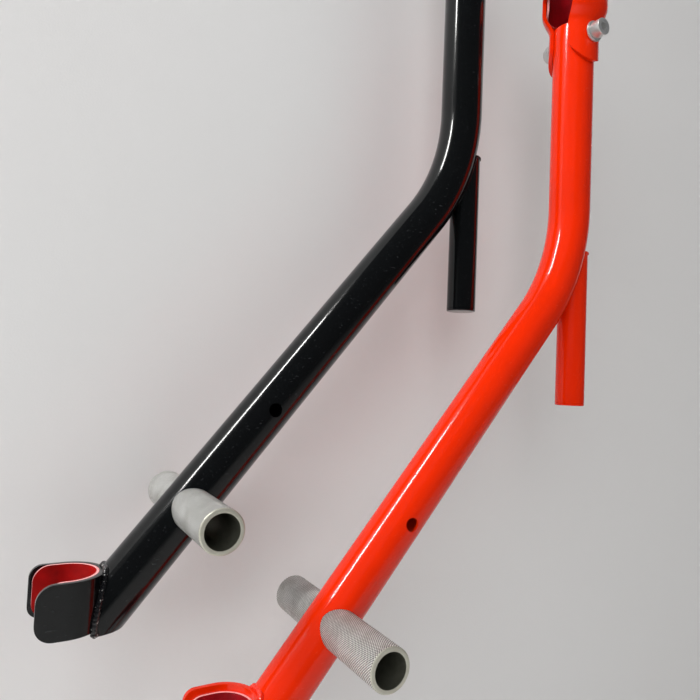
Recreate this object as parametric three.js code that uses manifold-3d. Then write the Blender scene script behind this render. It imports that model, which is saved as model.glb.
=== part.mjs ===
// A pair of swing arms for a bicycle wall rack, one black and one orange-red.
// Each arm is a bent steel tube. A round lined socket bolted on its top turns on a post of the
// wall frame, a short stub hangs under its bend, a knurled peg goes through its lower run, and a
// lined cradle is welded on its end.
//
// Millimetres, +Z up. Each arm has its own frame: the origin is the centre of its socket's mouth,
// the upper run of the tube lies on Z, the arm reaches towards -Y, and the bolt and the peg lie
// along X. The black arm's frame is the frame of the whole rack.

import * as THREE from 'three';
import { mergeVertices } from 'three/addons/utils/BufferGeometryUtils.js';
import Module from 'manifold-3d';

// ---- Clearances ------------------------------------------------------------------------------
const SEAT_GAP = 0.3;          // between two faces that touch on the real rack
const BOLT_PLAY = 0.4;         // radial, round the screw in each hole
const TURNING_PLAY = 0.3;      // radial, between the bush and the socket that turns round it

// ---- Arm tube --------------------------------------------------------------------------------
const TUBE_OD = 31.8;
const TUBE_WALL = 2;
const UPPER_RUN = 195.7;       // tube's top end to the crossing of its two axes
const BEND_ANGLE = 39.5;       // degrees that the lower run leaves the vertical by
const BEND_RADIUS = 140;       // of the tube's axis
const CRADLE_REACH = 269.5;    // arm's axis to the centre of the cradle's crown, along -Y
const SIDE_HOLE_D = 9;
const SIDE_HOLE_AT = 241;      // along the lower run, from the crossing of the axes

// ---- Stub ------------------------------------------------------------------------------------
const STUB_OD = 22.2;
const STUB_WALL = 1.6;
const STUB_SETBACK = 6;        // stub's axis behind the upper run's axis
const STUB_TOP = 14;           // above the crossing of the axes
const STUB_BOTTOM = 107.6;     // below the crossing of the axes
const PLUG_HEAD = 2;
const PLUG_SHANK = 9;

// ---- Peg -------------------------------------------------------------------------------------
const PEG_OD = 25;
const PEG_BORE = 19.4;
const PEG_AT = 318.5;          // along the lower run, from the crossing of the axes
const PEG_OUT = 70.5;          // tube's axis to the end of the peg, on the bolt head's side
const PEG_BACK = 56.5;         // the same on the nut's side
const PEG_CHAMFER = 0.7;

// ---- Cradle ----------------------------------------------------------------------------------
const STRAP = 3;               // thickness of the strap
const CRADLE_WIDTH = 42;       // outside, across the flanks
const CRADLE_HEIGHT = 30;
const CRADLE_RISE = 22.4;      // tube's axis at the crown up to the cradle's upper edge
const END_TRIM = 2.5;          // how far the tube's end stands below the cradle
const LINER_WALL = 1.5;
// Straight length of each flank in front of the crown, and the radius of its corners. The flank
// on the bolt head's side was cut a little shorter and rounder.
const FLANKS = [
  { side: 1, length: 15.6, corner: 9.5 },
  { side: -1, length: 17.5, corner: 7 },
];
const LINER_INSET = 2;         // liner's ends behind the flanks' ends
const LINER_CORNER_MORE = 2;   // liner's corner radius over the flank's

// ---- Socket ----------------------------------------------------------------------------------
const SHEET = 3;               // thickness of the pressed socket
const SOCKET_DEPTH = 44.3;     // mouth to the tube's top end
const MOUTH_OD = 50.4;
const RING_HEIGHT = 18;        // closed ring under the mouth
const SHOULDER_LOW = -1.5;     // above the tube's top end
const SHOULDER_HIGH = 13;      // above the tube's top end
const CHEEK_WIDTH = 34;        // of a cheek at the bolt, seen from the side
const CHEEK_WIDTH_TOP = 39.4;  // of a cheek above the shoulder
const BOLT_BELOW_END = 9.2;    // tube's top end down to the bolt
const CHEEK_BELOW_BOLT = 22.5; // bolt down to the lowest point of a cheek
const BUSH_WALL = 1.6;
const BUSH_INSET = 1.2;        // bush's edges behind the socket's edges
const BUSH_CORNER = 5;

// ---- Screw, washers and lock nut -------------------------------------------------------------
const SCREW_D = 8;
const HEAD_D = 13;
const HEAD_HEIGHT = 8;
const HEX_SOCKET = 6;          // across flats
const HEX_DEPTH = 4;
const WASHER_OD = 16;
const WASHER_THICK = 1.5;
const NUT_FLATS = 13;
const NUT_HEIGHT = 6.4;
const COLLAR_D = 11.6;
const COLLAR_HEIGHT = 2;
const INSERT_OD = 10;
const INSERT_THICK = 1.4;
const SCREW_TAIL = 1.2;        // thread showing past the nut
const SLEEVE_OD = 12;

// ---- The two arms ----------------------------------------------------------------------------
const ARMS = [
  { name: 'black', place: [0, 0, 0], paint: 0x0a0b0c, liner: 0x9c0a12, linerDrop: 0 },
  { name: 'red', place: [37, 83, -70.5], paint: 0xe4310f, liner: 0x8a0f1f, linerDrop: 4 },
];

// ---- Fineness of round shapes ----------------------------------------------------------------
const ROUND = 24;              // sides of a tube
const SMALL_ROUND = 16;        // sides of a washer, a screw or a small hole
const BEND_STEPS = 8;

// ---- Values that follow ----------------------------------------------------------------------
const bend = THREE.MathUtils.degToRad(BEND_ANGLE);
const tubeR = TUBE_OD / 2;
const tubeTop = -SOCKET_DEPTH;
const crossing = tubeTop - UPPER_RUN;
const boltZ = tubeTop - BOLT_BELOW_END;
const cheekIn = tubeR + SEAT_GAP;
const cheekOut = cheekIn + SHEET;
const mouthOut = MOUTH_OD / 2;
const mouthIn = mouthOut - SHEET;
const crownOut = CRADLE_WIDTH / 2;
const crownIn = crownOut - STRAP;
const crownY = -CRADLE_REACH;
const cradleTop = crossing - (CRADLE_REACH - crownOut) / Math.tan(bend) + CRADLE_RISE;
const cradleBottom = cradleTop - CRADLE_HEIGHT;
const screwHoleR = SCREW_D / 2 + BOLT_PLAY;

const { PI } = Math;
const wasm = await Module();
wasm.setup();

// ---- Solids ----------------------------------------------------------------------------------

function solidOf(geometry) {
  const bare = geometry.clone();
  bare.deleteAttribute('normal');
  bare.deleteAttribute('uv');
  const merged = mergeVertices(bare, 1e-4);
  const vertProperties = new Float32Array(merged.attributes.position.array);
  const triVerts = new Uint32Array(merged.index.array);
  return new wasm.Manifold(new wasm.Mesh({ numProp: 3, vertProperties, triVerts }));
}

function geometryOf(solid) {
  const { vertProperties, triVerts } = solid.getMesh();
  const geometry = new THREE.BufferGeometry();
  geometry.setAttribute('position', new THREE.BufferAttribute(vertProperties, 3));
  geometry.setIndex(new THREE.BufferAttribute(triVerts, 1));
  geometry.computeVertexNormals();
  return geometry;
}

// A solid of revolution about Z. The profile's points are [radius, height] pairs.
function turned(profile, sides = ROUND) {
  const points = profile.map(([r, z]) => new THREE.Vector2(r, z));
  const closed = [...points, points[0].clone()];
  const onAxis = points[0].x === 0 && points[points.length - 1].x === 0;
  return new THREE.LatheGeometry(onAxis ? points : closed, sides).rotateX(PI / 2);
}

// A plain cylinder along Z from one height to another.
function rod(radius, low, high, sides = SMALL_ROUND) {
  return new THREE.CylinderGeometry(radius, radius, high - low, sides)
    .rotateX(PI / 2)
    .translate(0, 0, (low + high) / 2);
}

// A ring along Z.
function ring(inner, outer, low, high, sides = SMALL_ROUND) {
  return turned([[inner, low], [outer, low], [outer, high], [inner, high]], sides);
}

function block(low, high) {
  const size = new THREE.Vector3().subVectors(high, low);
  const centre = new THREE.Vector3().addVectors(high, low).multiplyScalar(0.5);
  return new THREE.BoxGeometry(size.x, size.y, size.z).translate(centre.x, centre.y, centre.z);
}

// Turns a shape made along Z to lie along X, with +Z going to +X.
function alongX(geometry) {
  return geometry.rotateY(PI / 2);
}

// A flat outline in Y and Z, given as a shape in its own x and y, made into a slab across X.
function sideSlab(shape, halfWidth) {
  return new THREE.ExtrudeGeometry(shape, { depth: 2 * halfWidth, bevelEnabled: false, curveSegments: 8 })
    .rotateX(PI / 2)
    .rotateZ(PI / 2)
    .translate(-halfWidth, 0, 0);
}

// ---- The tube's axis -------------------------------------------------------------------------

// A point of the lower run: its distance along the run and its height above the run's axis.
function onLowerRun(along, above = 0) {
  const y = -along * Math.sin(bend) - above * Math.cos(bend);
  const z = crossing - along * Math.cos(bend) + above * Math.sin(bend);
  return new THREE.Vector3(0, y, z);
}

// A straight run, an arc and a straight run, with a knot at each end and at each step of the arc.
class BentPath extends THREE.Curve {
  constructor(lowerLength) {
    super();
    this.steps = BEND_STEPS + 2;
    this.knots = [{ point: new THREE.Vector3(0, 0, tubeTop), turn: 0 }];
    const tangentLength = BEND_RADIUS * Math.tan(bend / 2);
    for (let i = 0; i <= BEND_STEPS; i += 1) {
      const turn = (bend * i) / BEND_STEPS;
      const y = -BEND_RADIUS * (1 - Math.cos(turn));
      const z = crossing + tangentLength - BEND_RADIUS * Math.sin(turn);
      this.knots.push({ point: new THREE.Vector3(0, y, z), turn });
    }
    this.knots.push({ point: onLowerRun(lowerLength), turn: bend });
  }

  getPointAt(u) {
    return this.knots[Math.round(u * this.steps)].point.clone();
  }

  getTangentAt(u) {
    const { turn } = this.knots[Math.round(u * this.steps)];
    return new THREE.Vector3(0, -Math.sin(turn), -Math.cos(turn));
  }
}

function circleShape(radius) {
  const shape = new THREE.Shape();
  shape.absarc(0, 0, radius, 0, 2 * PI);
  return shape;
}

function sweptTube(outer, inner, lowerLength) {
  const shape = circleShape(outer);
  if (inner > 0) shape.holes.push(circleShape(inner));
  const path = new BentPath(lowerLength);
  const options = { extrudePath: path, steps: path.steps, curveSegments: ROUND / 2 };
  return solidOf(new THREE.ExtrudeGeometry(shape, options));
}

// ---- Arm tube, stub and peg ------------------------------------------------------------------

const pegPlace = onLowerRun(PEG_AT);
const sideHolePlace = onLowerRun(SIDE_HOLE_AT);

// A cutter through the whole tube along X, at a point of the tube's axis.
function crossDrill(radius, place, sides = SMALL_ROUND) {
  const cutter = alongX(rod(radius, -TUBE_OD, TUBE_OD, sides));
  return solidOf(cutter.translate(place.x, place.y, place.z));
}

// The space of the cradle's crown and all that lies in front of it.
function crownCutter(clearance) {
  const radius = crownOut + clearance;
  const low = cradleBottom - TUBE_OD;
  const high = cradleTop + TUBE_OD;
  const front = new THREE.Vector3(-radius, crownY - 2 * TUBE_OD, low);
  const back = new THREE.Vector3(radius, crownY, high);
  return solidOf(rod(radius, low, high, ROUND).translate(0, crownY, 0)).add(solidOf(block(front, back)));
}

function armTube() {
  const pastCradle = CRADLE_REACH / Math.sin(bend);
  const below = new THREE.Vector3(-TUBE_OD, 2 * crownY, cradleBottom - 4 * TUBE_OD);
  const trim = new THREE.Vector3(TUBE_OD, 0, cradleBottom - END_TRIM);
  const solid = sweptTube(tubeR, tubeR - TUBE_WALL, pastCradle)
    .subtract(crossDrill(screwHoleR, new THREE.Vector3(0, 0, boltZ)))
    .subtract(crossDrill(PEG_OD / 2 + SEAT_GAP, pegPlace, ROUND))
    .subtract(crossDrill(SIDE_HOLE_D / 2, sideHolePlace))
    .subtract(crownCutter(SEAT_GAP))
    .subtract(solidOf(block(below, trim)));
  return geometryOf(solid);
}

const stubEnd = crossing - STUB_BOTTOM;
const stubInR = STUB_OD / 2 - STUB_WALL;

function stub() {
  const low = stubEnd + PLUG_HEAD + SEAT_GAP;
  const pipe = ring(stubInR, STUB_OD / 2, low, crossing + STUB_TOP, ROUND - 4);
  const saddle = sweptTube(tubeR + SEAT_GAP, 0, STUB_BOTTOM + TUBE_OD);
  return geometryOf(solidOf(pipe.translate(0, STUB_SETBACK, 0)).subtract(saddle));
}

function stubPlug() {
  const shankR = stubInR - SEAT_GAP;
  const shoulder = stubEnd + PLUG_HEAD;
  const profile = [
    [0, stubEnd], [STUB_OD / 2 - 0.8, stubEnd], [STUB_OD / 2, stubEnd + 0.8], [STUB_OD / 2, shoulder],
    [shankR, shoulder], [shankR, shoulder + PLUG_SHANK], [0, shoulder + PLUG_SHANK],
  ];
  return turned(profile, ROUND - 4).translate(0, STUB_SETBACK, 0);
}

function peg() {
  const inR = PEG_BORE / 2;
  const outR = PEG_OD / 2;
  const profile = [
    [inR, -PEG_BACK], [outR - PEG_CHAMFER, -PEG_BACK], [outR, -PEG_BACK + PEG_CHAMFER],
    [outR, PEG_OUT - PEG_CHAMFER], [outR - PEG_CHAMFER, PEG_OUT], [inR, PEG_OUT],
  ];
  return alongX(turned(profile)).translate(pegPlace.x, pegPlace.y, pegPlace.z);
}

// ---- Cradle and its liner --------------------------------------------------------------------

// A U seen from above: a half-round crown at the back and two straight flanks to the front.
function channel(outR, inR, low, high) {
  const frontY = crownY - CRADLE_WIDTH;
  const shape = new THREE.Shape();
  shape.moveTo(outR, frontY);
  shape.absarc(0, crownY, outR, 0, PI, false);
  shape.lineTo(-outR, frontY);
  shape.lineTo(-inR, frontY);
  shape.absarc(0, crownY, inR, PI, 0, true);
  shape.lineTo(inR, frontY);
  const options = { depth: high - low, bevelEnabled: false, curveSegments: ROUND / 4 };
  return solidOf(new THREE.ExtrudeGeometry(shape, options).translate(0, 0, low));
}

// The side outline that cuts one flank to length and rounds its front corners.
function flankOutline(side, frontY, low, high, corner) {
  const backY = crownY + 2 * crownOut;
  const shape = new THREE.Shape();
  shape.moveTo(backY, low);
  shape.lineTo(backY, high);
  shape.lineTo(frontY + corner, high);
  shape.absarc(frontY + corner, high - corner, corner, PI / 2, PI, false);
  shape.absarc(frontY + corner, low + corner, corner, PI, 1.5 * PI, false);
  return solidOf(sideSlab(shape, crownOut / 2 + 1).translate(side * (crownOut / 2 + 1), 0, 0));
}

function cutToFlanks(sheet, inset, low, high, cornerMore) {
  const [first, second] = FLANKS.map(({ side, length, corner }) =>
    flankOutline(side, crownY - length + inset, low, high, corner + cornerMore));
  return sheet.intersect(first.add(second));
}

function cradle() {
  const strap = channel(crownOut, crownIn, cradleBottom, cradleTop);
  return geometryOf(cutToFlanks(strap, 0, cradleBottom, cradleTop, 0));
}

function cradleLiner(drop) {
  const outR = crownIn - SEAT_GAP;
  const high = cradleTop - drop;
  const low = cradleBottom + SEAT_GAP;
  const sheet = channel(outR, outR - LINER_WALL, low, high);
  return geometryOf(cutToFlanks(sheet, LINER_INSET, low, high, LINER_CORNER_MORE));
}

// ---- Socket and its bush ---------------------------------------------------------------------

const shoulderLow = tubeTop + SHOULDER_LOW;
const shoulderHigh = tubeTop + SHOULDER_HIGH;

// The side outline of the two cheeks: a round lower end, a shoulder and a closed ring on top.
function cheekOutline() {
  const half = CHEEK_WIDTH / 2;
  const halfTop = CHEEK_WIDTH_TOP / 2;
  const whole = mouthOut + 1;
  const roundZ = boltZ - CHEEK_BELOW_BOLT + half;
  const shape = new THREE.Shape();
  shape.moveTo(half, roundZ);
  shape.lineTo(half, shoulderLow);
  shape.lineTo(halfTop, shoulderHigh);
  shape.lineTo(halfTop, -RING_HEIGHT);
  shape.lineTo(whole, -RING_HEIGHT);
  shape.lineTo(whole, 1);
  shape.lineTo(-whole, 1);
  shape.lineTo(-whole, -RING_HEIGHT);
  shape.lineTo(-halfTop, -RING_HEIGHT);
  shape.lineTo(-halfTop, shoulderHigh);
  shape.lineTo(-half, shoulderLow);
  shape.lineTo(-half, roundZ);
  shape.absarc(0, roundZ, half, PI, 2 * PI, false);
  return shape;
}

function socket() {
  const low = boltZ - CHEEK_BELOW_BOLT - 1;
  const shell = turned([
    [cheekIn, low], [cheekOut, low], [cheekOut, shoulderLow], [mouthOut, shoulderHigh], [mouthOut, 0],
    [mouthIn, 0], [mouthIn, shoulderHigh], [cheekIn, shoulderLow],
  ], ROUND + 8);
  const solid = solidOf(shell)
    .intersect(solidOf(sideSlab(cheekOutline(), mouthOut + 1)))
    .subtract(solidOf(alongX(rod(screwHoleR, -mouthOut, mouthOut)).translate(0, 0, boltZ)));
  return geometryOf(solid);
}

const bushOut = mouthIn - TURNING_PLAY;

function bushOutline(low) {
  const half = CHEEK_WIDTH_TOP / 2 - BUSH_INSET;
  const whole = mouthOut + 1;
  const ringLow = -RING_HEIGHT + BUSH_INSET;
  const shape = new THREE.Shape();
  shape.moveTo(half, low + BUSH_CORNER);
  shape.lineTo(half, ringLow);
  shape.lineTo(whole, ringLow);
  shape.lineTo(whole, 1);
  shape.lineTo(-whole, 1);
  shape.lineTo(-whole, ringLow);
  shape.lineTo(-half, ringLow);
  shape.absarc(-half + BUSH_CORNER, low + BUSH_CORNER, BUSH_CORNER, PI, 1.5 * PI, false);
  shape.absarc(half - BUSH_CORNER, low + BUSH_CORNER, BUSH_CORNER, 1.5 * PI, 2 * PI, false);
  return shape;
}

function socketBush() {
  const low = shoulderHigh + SEAT_GAP;
  const shell = solidOf(ring(bushOut - BUSH_WALL, bushOut, low, 0, ROUND + 8));
  return geometryOf(shell.intersect(solidOf(sideSlab(bushOutline(low), mouthOut + 1))));
}

// ---- Screw, washers, nut and sleeve ----------------------------------------------------------

const washerIn = cheekOut + SEAT_GAP;
const washerOut = washerIn + WASHER_THICK;
const headIn = washerOut + SEAT_GAP;
const nutOut = headIn + NUT_HEIGHT;
const screwR = SCREW_D / 2;

// Puts a piece made along Z on the bolt's axis, its +Z end on the side of the screw's head.
function onBolt(geometry) {
  return alongX(geometry).translate(0, 0, boltZ);
}

function hexPrism(flats, low, high) {
  return rod(flats / Math.sqrt(3), low, high, 6);
}

function capScrew() {
  const headTop = headIn + HEAD_HEIGHT;
  const headR = HEAD_D / 2;
  const tip = -(nutOut + SCREW_TAIL);
  const body = turned([
    [0, tip], [screwR - 0.8, tip], [screwR, tip + 0.8], [screwR, headIn], [headR, headIn],
    [headR, headTop - 0.6], [headR - 0.6, headTop], [0, headTop],
  ], SMALL_ROUND + 4);
  const key = hexPrism(HEX_SOCKET, headTop - HEX_DEPTH, headTop + 1);
  return onBolt(geometryOf(solidOf(body).subtract(solidOf(key))));
}

function washer(side) {
  const flat = ring(screwHoleR, WASHER_OD / 2, washerIn, washerOut, SMALL_ROUND + 4);
  return onBolt(side > 0 ? flat : flat.rotateX(PI));
}

function lockNut() {
  const hexEnd = nutOut - COLLAR_HEIGHT;
  const insertLow = nutOut - 0.4 - INSERT_THICK - 2 * SEAT_GAP;
  const body = solidOf(hexPrism(NUT_FLATS, headIn, hexEnd))
    .add(solidOf(rod(COLLAR_D / 2, hexEnd - 0.5, nutOut, SMALL_ROUND + 4)))
    .subtract(solidOf(rod(screwHoleR, headIn - 1, nutOut + 1)))
    .subtract(solidOf(rod(INSERT_OD / 2 + SEAT_GAP, insertLow, nutOut + 1)));
  return onBolt(geometryOf(body).rotateX(PI));
}

function nutInsert() {
  const high = nutOut - 0.4 - SEAT_GAP;
  const insert = ring(screwR + SEAT_GAP, INSERT_OD / 2, high - INSERT_THICK, high);
  return onBolt(insert.rotateX(PI));
}

// A sleeve inside the tube keeps the screw from crushing it.
function crushSleeve() {
  const tubeIn = tubeR - TUBE_WALL;
  const half = Math.sqrt(tubeIn ** 2 - (SLEEVE_OD / 2) ** 2) - SEAT_GAP;
  return onBolt(ring(screwHoleR, SLEEVE_OD / 2, -half, half));
}

// ---- Assembly --------------------------------------------------------------------------------

const STEEL = { color: 0xc9c8c0, roughness: 0.35, metalness: 1 };
const ZINC = { color: 0xd5d6d4, roughness: 0.25, metalness: 1 };
const NYLON = { color: 0xe6e6e0, roughness: 0.5, metalness: 0 };

function piecesOf(arm) {
  const paint = { color: arm.paint, roughness: 0.2, metalness: 0 };
  const lining = { color: arm.liner, roughness: 0.45, metalness: 0 };
  return [
    ['arm_tube', armTube(), paint],
    ['stub', stub(), paint],
    ['stub_plug', stubPlug(), paint],
    ['peg', peg(), STEEL],
    ['cradle', cradle(), paint],
    ['cradle_liner', cradleLiner(arm.linerDrop), lining],
    ['socket', socket(), paint],
    ['socket_bush', socketBush(), lining],
    ['cap_screw', capScrew(), ZINC],
    ['head_washer', washer(1), ZINC],
    ['nut_washer', washer(-1), ZINC],
    ['lock_nut', lockNut(), ZINC],
    ['nut_insert', nutInsert(), NYLON],
    ['crush_sleeve', crushSleeve(), ZINC],
  ];
}

function armGroup(arm) {
  const group = new THREE.Group();
  for (const [piece, geometry, finish] of piecesOf(arm)) {
    const mesh = new THREE.Mesh(geometry, new THREE.MeshStandardMaterial(finish));
    mesh.name = `${arm.name}_${piece}`;
    group.add(mesh);
  }
  group.position.set(...arm.place);
  return group;
}

const rack = new THREE.Group();
for (const arm of ARMS) rack.add(armGroup(arm));

export default rack;
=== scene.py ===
"""Two swing arms of a bicycle wall rack, one black and one orange-red, as they hang on a wall."""
import math

import bmesh
import bpy
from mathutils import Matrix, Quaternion, Vector


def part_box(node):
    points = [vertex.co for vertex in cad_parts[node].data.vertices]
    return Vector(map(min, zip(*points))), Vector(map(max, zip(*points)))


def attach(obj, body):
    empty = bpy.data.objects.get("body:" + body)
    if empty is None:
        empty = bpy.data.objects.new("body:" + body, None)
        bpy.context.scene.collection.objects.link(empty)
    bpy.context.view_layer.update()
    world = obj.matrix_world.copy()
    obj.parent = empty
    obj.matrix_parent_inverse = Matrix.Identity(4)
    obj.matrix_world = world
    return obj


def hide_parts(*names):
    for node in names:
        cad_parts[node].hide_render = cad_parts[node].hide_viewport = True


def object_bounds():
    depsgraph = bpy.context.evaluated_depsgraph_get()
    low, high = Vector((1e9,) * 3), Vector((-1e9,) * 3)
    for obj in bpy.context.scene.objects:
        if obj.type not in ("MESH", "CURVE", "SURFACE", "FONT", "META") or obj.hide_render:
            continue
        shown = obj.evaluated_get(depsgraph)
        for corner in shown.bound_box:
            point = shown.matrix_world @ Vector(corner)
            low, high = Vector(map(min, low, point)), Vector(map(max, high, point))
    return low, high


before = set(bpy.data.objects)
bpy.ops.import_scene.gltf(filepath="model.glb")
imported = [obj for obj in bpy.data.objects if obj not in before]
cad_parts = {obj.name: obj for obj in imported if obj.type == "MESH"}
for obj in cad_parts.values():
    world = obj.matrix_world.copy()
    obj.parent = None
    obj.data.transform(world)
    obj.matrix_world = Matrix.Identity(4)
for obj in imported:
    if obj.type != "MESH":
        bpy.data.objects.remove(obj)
cad_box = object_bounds()

# ---- The two arms ----------------------------------------------------------------------------
# Both arms are the same, apart from their paint and lining, and hang side by side on a wall
# frame. An arm's place is the centre of its socket's mouth, and all its pieces go with it.

MM = 0.001
PLACES = {}
for arm in ("black", "red"):
    low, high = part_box(f"{arm}_socket")
    PLACES[arm] = Vector(((low.x + high.x) / 2, (low.y + high.y) / 2, high.z))


def fit_arm(piece, arm, finish, slot, *nodes):
    """The piece gets its finish, swings with its arm, and stands for these nodes of the arm."""
    piece.data.materials.append(finish)
    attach(piece, f"{arm}_arm")
    if nodes:
        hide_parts(*[f"{arm}_{node}" for node in nodes])


# ---- Wall, floor, lamps and camera -----------------------------------------------------------
# A plastered wall painted a warm pale grey stands just behind the pegs, over a pale floor. Two
# soft lamps hang in front, a long skylight and a pale screen shine in from the left, and a weak
# lamp stands behind the wall.


class Wire:
    """A value in a finish. A sum that is written with it adds the Math nodes."""

    def __init__(self, finish, socket):
        self.finish = finish
        self.socket = socket

    def math(self, operation, *values):
        return self.finish.node("ShaderNodeMath", {"operation": operation}, dict(enumerate(values)))

    def __add__(self, other):
        return self.math("ADD", self, other)

    def __sub__(self, other):
        return self.math("SUBTRACT", self, other)

    def __rsub__(self, other):
        return self.math("SUBTRACT", other, self)

    def __mul__(self, other):
        return self.math("MULTIPLY", self, other)

    __radd__ = __add__
    __rmul__ = __mul__


class Finish:
    """A surface finish: one material, and the method that adds any node to it."""

    def __init__(self, name):
        self.material = bpy.data.materials.new(name)
        self.material.use_nodes = True
        self.tree = self.material.node_tree
        self.surface = self.tree.nodes["Principled BSDF"]
        self.place = self.node("ShaderNodeTexCoord", output="Object")

    def feed(self, node, sockets):
        for key, value in sockets.items():
            if isinstance(value, Wire):
                self.tree.links.new(value.socket, node.inputs[key])
            else:
                node.inputs[key].default_value = value

    def node(self, kind, settings=None, sockets=None, output=0):
        made = self.tree.nodes.new(kind)
        for key, value in (settings or {}).items():
            setattr(made, key, value)
        self.feed(made, sockets or {})
        return Wire(self, made.outputs[output])

    def noise(self, grains_per_metre, detail=2.0, roughness=0.5):
        sockets = {
            "Vector": self.place,
            "Scale": grains_per_metre,
            "Detail": detail,
            "Roughness": roughness,
        }
        return self.node("ShaderNodeTexNoise", None, sockets)

    def step(self, value, start, end):
        """0 where the value is under start, 1 where it is over end."""
        return self.node("ShaderNodeMapRange", None, {0: value, 1: start, 2: end})

    def blend(self, share, first, second):
        """The first colour where the share is 0, and the second where it is 1."""
        return self.node("ShaderNodeMix", {"data_type": "RGBA"}, {0: share, 6: first, 7: second}, 2)

    def relief(self, height, depth, strength=1.0):
        sockets = {"Height": height, "Distance": depth, "Strength": strength}
        return self.node("ShaderNodeBump", None, sockets)


def plaster(name, colour, shade):
    finish = Finish(name)
    cloud = finish.noise(3.0, 4.0)
    grit = finish.noise(700.0, 3.0)
    finish.feed(finish.surface, {
        "Base Color": finish.blend(cloud, colour, shade),
        "Roughness": 0.7 + 0.15 * grit,
        "Normal": finish.relief(grit, 0.15 * MM, 0.5),
    })
    return finish


def board(name, finish, corners):
    mesh = bpy.data.meshes.new(name)
    mesh.from_pydata(corners, [], [(0, 1, 2, 3)])
    made = bpy.data.objects.new(name, mesh)
    bpy.context.collection.objects.link(made)
    made.data.materials.append(finish.material)
    return made


WALL_BEHIND_PEGS = 18 * MM
FLOOR_UNDER_ARMS = 260 * MM
ROOM = 6.0
wall_x = cad_box[0].x - WALL_BEHIND_PEGS
floor_z = cad_box[0].z - FLOOR_UNDER_ARMS

wall_finish = plaster("wall_plaster", (0.84, 0.83, 0.82, 1), (0.87, 0.865, 0.86, 1))
# From its back the wall is clear and lets the back lamp's light through, so that the arms are
# seen from there too.
clear = wall_finish.node("ShaderNodeBsdfTransparent")
back = wall_finish.node("ShaderNodeNewGeometry", output="Backfacing")
covered = Wire(wall_finish, wall_finish.surface.outputs[0])
mixed = wall_finish.node("ShaderNodeMixShader", None, {0: back, 1: covered, 2: clear})
wall_finish.feed(wall_finish.tree.nodes["Material Output"], {"Surface": mixed})
wall = board("wall", wall_finish, [
    (wall_x, -ROOM, floor_z), (wall_x, ROOM, floor_z), (wall_x, ROOM, ROOM), (wall_x, -ROOM, ROOM),
])
wall.visible_shadow = False
board("floor", plaster("floor_paint", (0.6, 0.6, 0.59, 1), (0.66, 0.66, 0.65, 1)), [
    (-ROOM, -ROOM, floor_z), (ROOM, -ROOM, floor_z), (ROOM, ROOM, floor_z), (-ROOM, ROOM, floor_z),
])

middle = (cad_box[0] + cad_box[1]) / 2


def lamp(name, towards, distance, width, height, watts, colour, mirrored):
    data = bpy.data.lights.new(name, "AREA")
    data.shape = "RECTANGLE"
    data.size = width
    data.size_y = height
    data.energy = watts
    data.color = colour
    made = bpy.data.objects.new(name, data)
    bpy.context.collection.objects.link(made)
    direction = Vector(towards).normalized()
    made.location = middle + direction * distance
    made.rotation_mode = "QUATERNION"
    made.rotation_quaternion = direction.to_track_quat("Z", "Y")
    made.visible_glossy = mirrored


lamp("soft_box", (0.6, -0.68, 0.42), 2.0, 1.9, 1.9, 29.0, (0.99, 0.99, 1.0), False)
lamp("room_lamp", (0.8, 0.5, 0.3), 2.2, 1.8, 1.8, 7.0, (1.0, 0.98, 0.95), False)
lamp("skylight", (0.02, -0.68, 0.73), 2.0, 0.12, 0.85, 26.0, (1.0, 1.0, 0.98), True)
lamp("pale_screen", (-0.05, -1.0, 0.3), 2.2, 1.6, 1.6, 1.6, (1.0, 0.99, 0.97), True)
lamp("back_lamp", (-0.85, 0.2, 0.5), 2.2, 1.4, 1.4, 9.0, (1.0, 0.99, 0.98), False)

world = bpy.data.worlds.new("room_light")
world.use_nodes = True
world.node_tree.nodes["Background"].inputs["Color"].default_value = (0.9, 0.93, 1.0, 1)
world.node_tree.nodes["Background"].inputs["Strength"].default_value = 0.07
bpy.context.scene.world = world
bpy.context.scene.view_settings.view_transform = "Standard"

CAMERA_LENS = 32.0
CAMERA_ROLL = math.radians(2.4)
camera_data = bpy.data.cameras.new("camera")
camera_data.lens = CAMERA_LENS
camera_data.sensor_width = 36.0
camera = bpy.data.objects.new("camera", camera_data)
bpy.context.collection.objects.link(camera)
camera.location = PLACES["black"] + Vector((385.5, -307.3, -402.6)) * MM
sight = Vector((-0.8727, 0.4864, 0.0429))
camera.rotation_mode = "QUATERNION"
camera.rotation_quaternion = sight.to_track_quat("-Z", "Y") @ Quaternion((0, 0, 1), CAMERA_ROLL)
bpy.context.scene.camera = camera

# ---- Gloss paint -----------------------------------------------------------------------------
# The steel is powder coated in one thick coat. It is glossy, with a faint orange peel, slow
# waves in the film, fine dust caught in it, and hairline scuffs where the arms were handled.


def gloss_paint(name, colour, dust_colour):
    finish = Finish(name)
    film = finish.noise(35.0, 2.0)
    peel = finish.noise(420.0, 1.0)
    dust = finish.step(finish.noise(1500.0, 1.0), 0.8, 0.84)
    along_arm = {"Vector": finish.place, "Scale": (3.0, 0.25, 1.0)}
    stretched = finish.node("ShaderNodeMapping", None, along_arm)
    sockets = {"Vector": stretched, "Scale": 900.0, "Detail": 1.0}
    scuff = finish.step(finish.node("ShaderNodeTexNoise", None, sockets), 0.7, 0.76)
    worn = dust * 0.5 + scuff * 0.12
    tone = [0.88 * part for part in colour[:3]] + [1]
    finish.feed(finish.surface, {
        "Base Color": finish.blend(worn, finish.blend(film, colour, tone), dust_colour),
        "Roughness": 0.1 + 0.07 * film + 0.3 * worn,
        "Normal": finish.relief(peel + 3.0 * film, 0.05 * MM, 0.35),
        "Specular IOR Level": 0.3,
        "Coat Weight": 0.15,
        "Coat Roughness": 0.04,
    })
    return finish.material


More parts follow.
